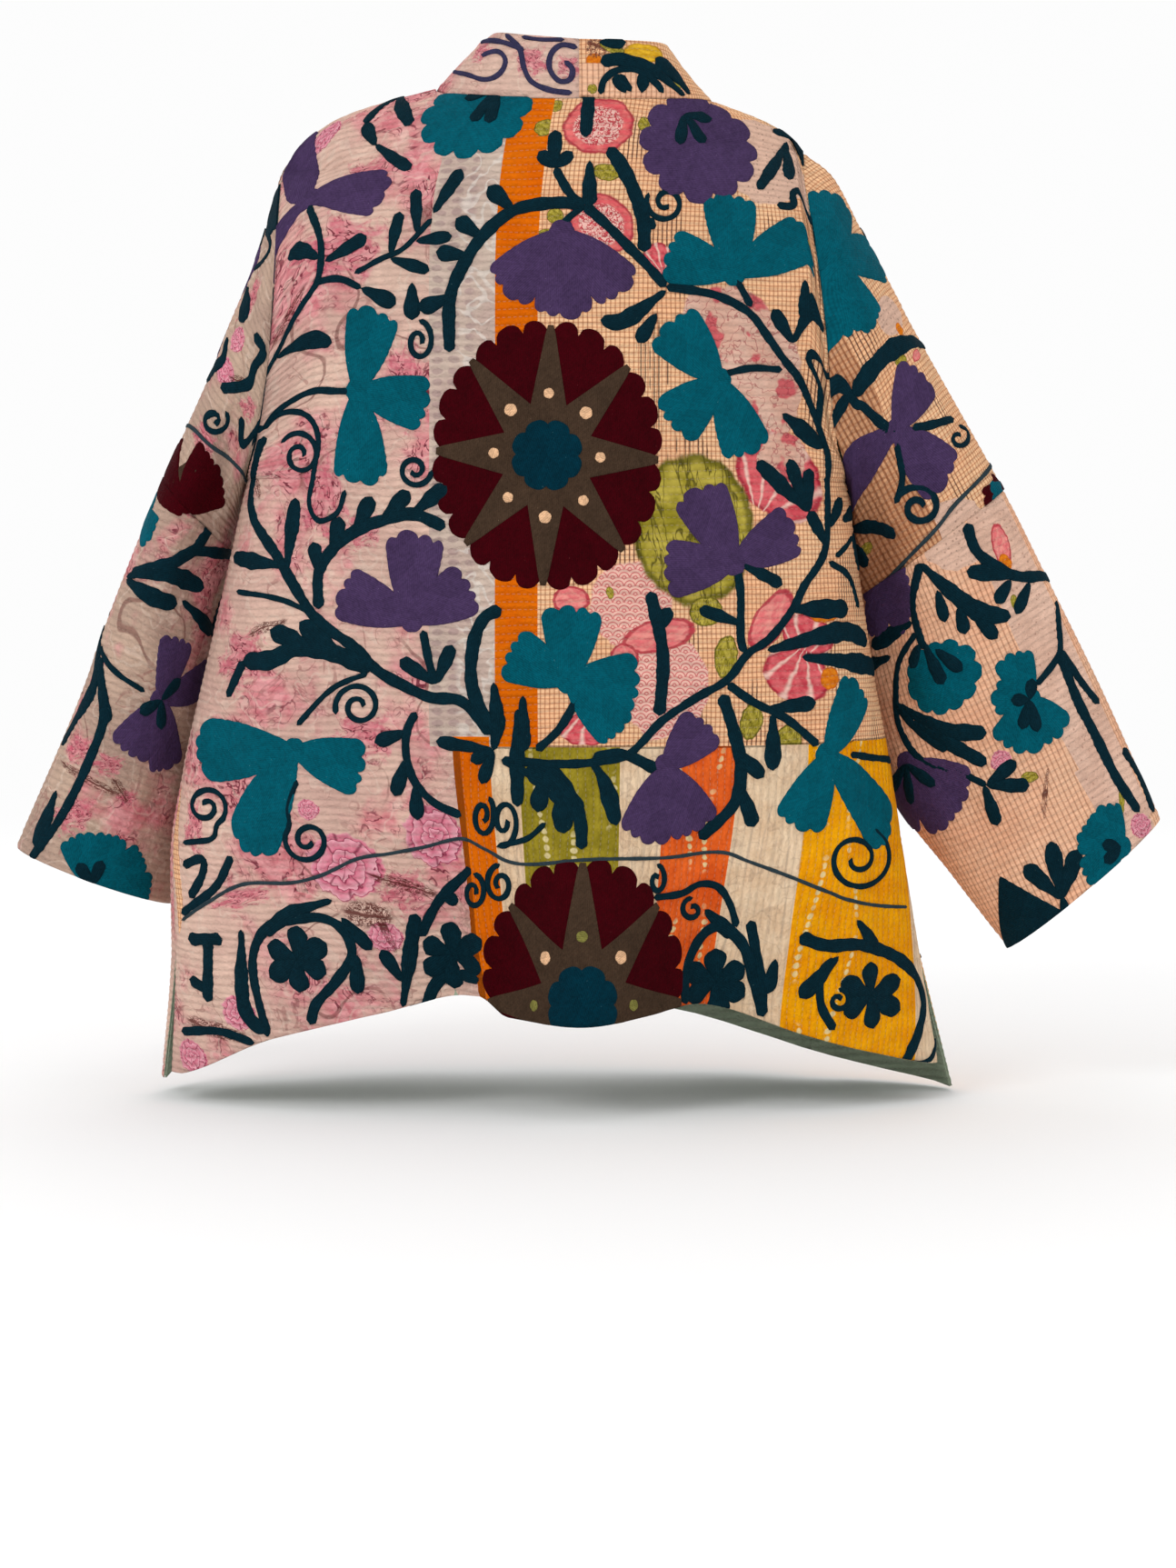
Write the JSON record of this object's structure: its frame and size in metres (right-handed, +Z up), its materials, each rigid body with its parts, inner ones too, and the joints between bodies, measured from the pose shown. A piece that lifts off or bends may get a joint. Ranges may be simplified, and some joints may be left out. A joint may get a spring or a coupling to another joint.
{
  "type": "quilted kantha jacket",
  "caption": "Open-fronted quilted patchwork jacket in its hollow worn shape, with wide sleeves, a standing neck band that runs down both fronts, side slits and a waving hem.",
  "frame": {"origin": "On the shoulder line between the two shoulder seams, level with the back of the neckline, where a wearer's shoulders hold the jacket.", "axes": "+Z up, +X towards the wearer's right, +Y out of the front. The back faces -Y."},
  "size_m": [0.896, 0.2954, 0.8162],
  "materials": {
    "quilted_body": "matt printed cotton patchwork in quilted layers, with chain-stitch embroidery",
    "quilted_sleeve": "matt printed cotton patchwork in quilted layers, with chain-stitch embroidery",
    "quilted_band": "matt printed cotton patchwork in quilted layers, with embroidered scrolls",
    "lining": "plain matt sage green cotton"
  },
  "bodies": {
    "root": {"back": "quilted_body", "front_left": "quilted_body", "front_right": "quilted_body", "sleeve_upper_left": "quilted_sleeve", "sleeve_upper_right": "quilted_sleeve", "sleeve_lower_left": "quilted_sleeve", "sleeve_lower_right": "quilted_sleeve", "band_left": "quilted_band", "band_right": "quilted_band", "lining_front_left": "lining", "lining_front_right": "lining"}
  },
  "joints": []
}
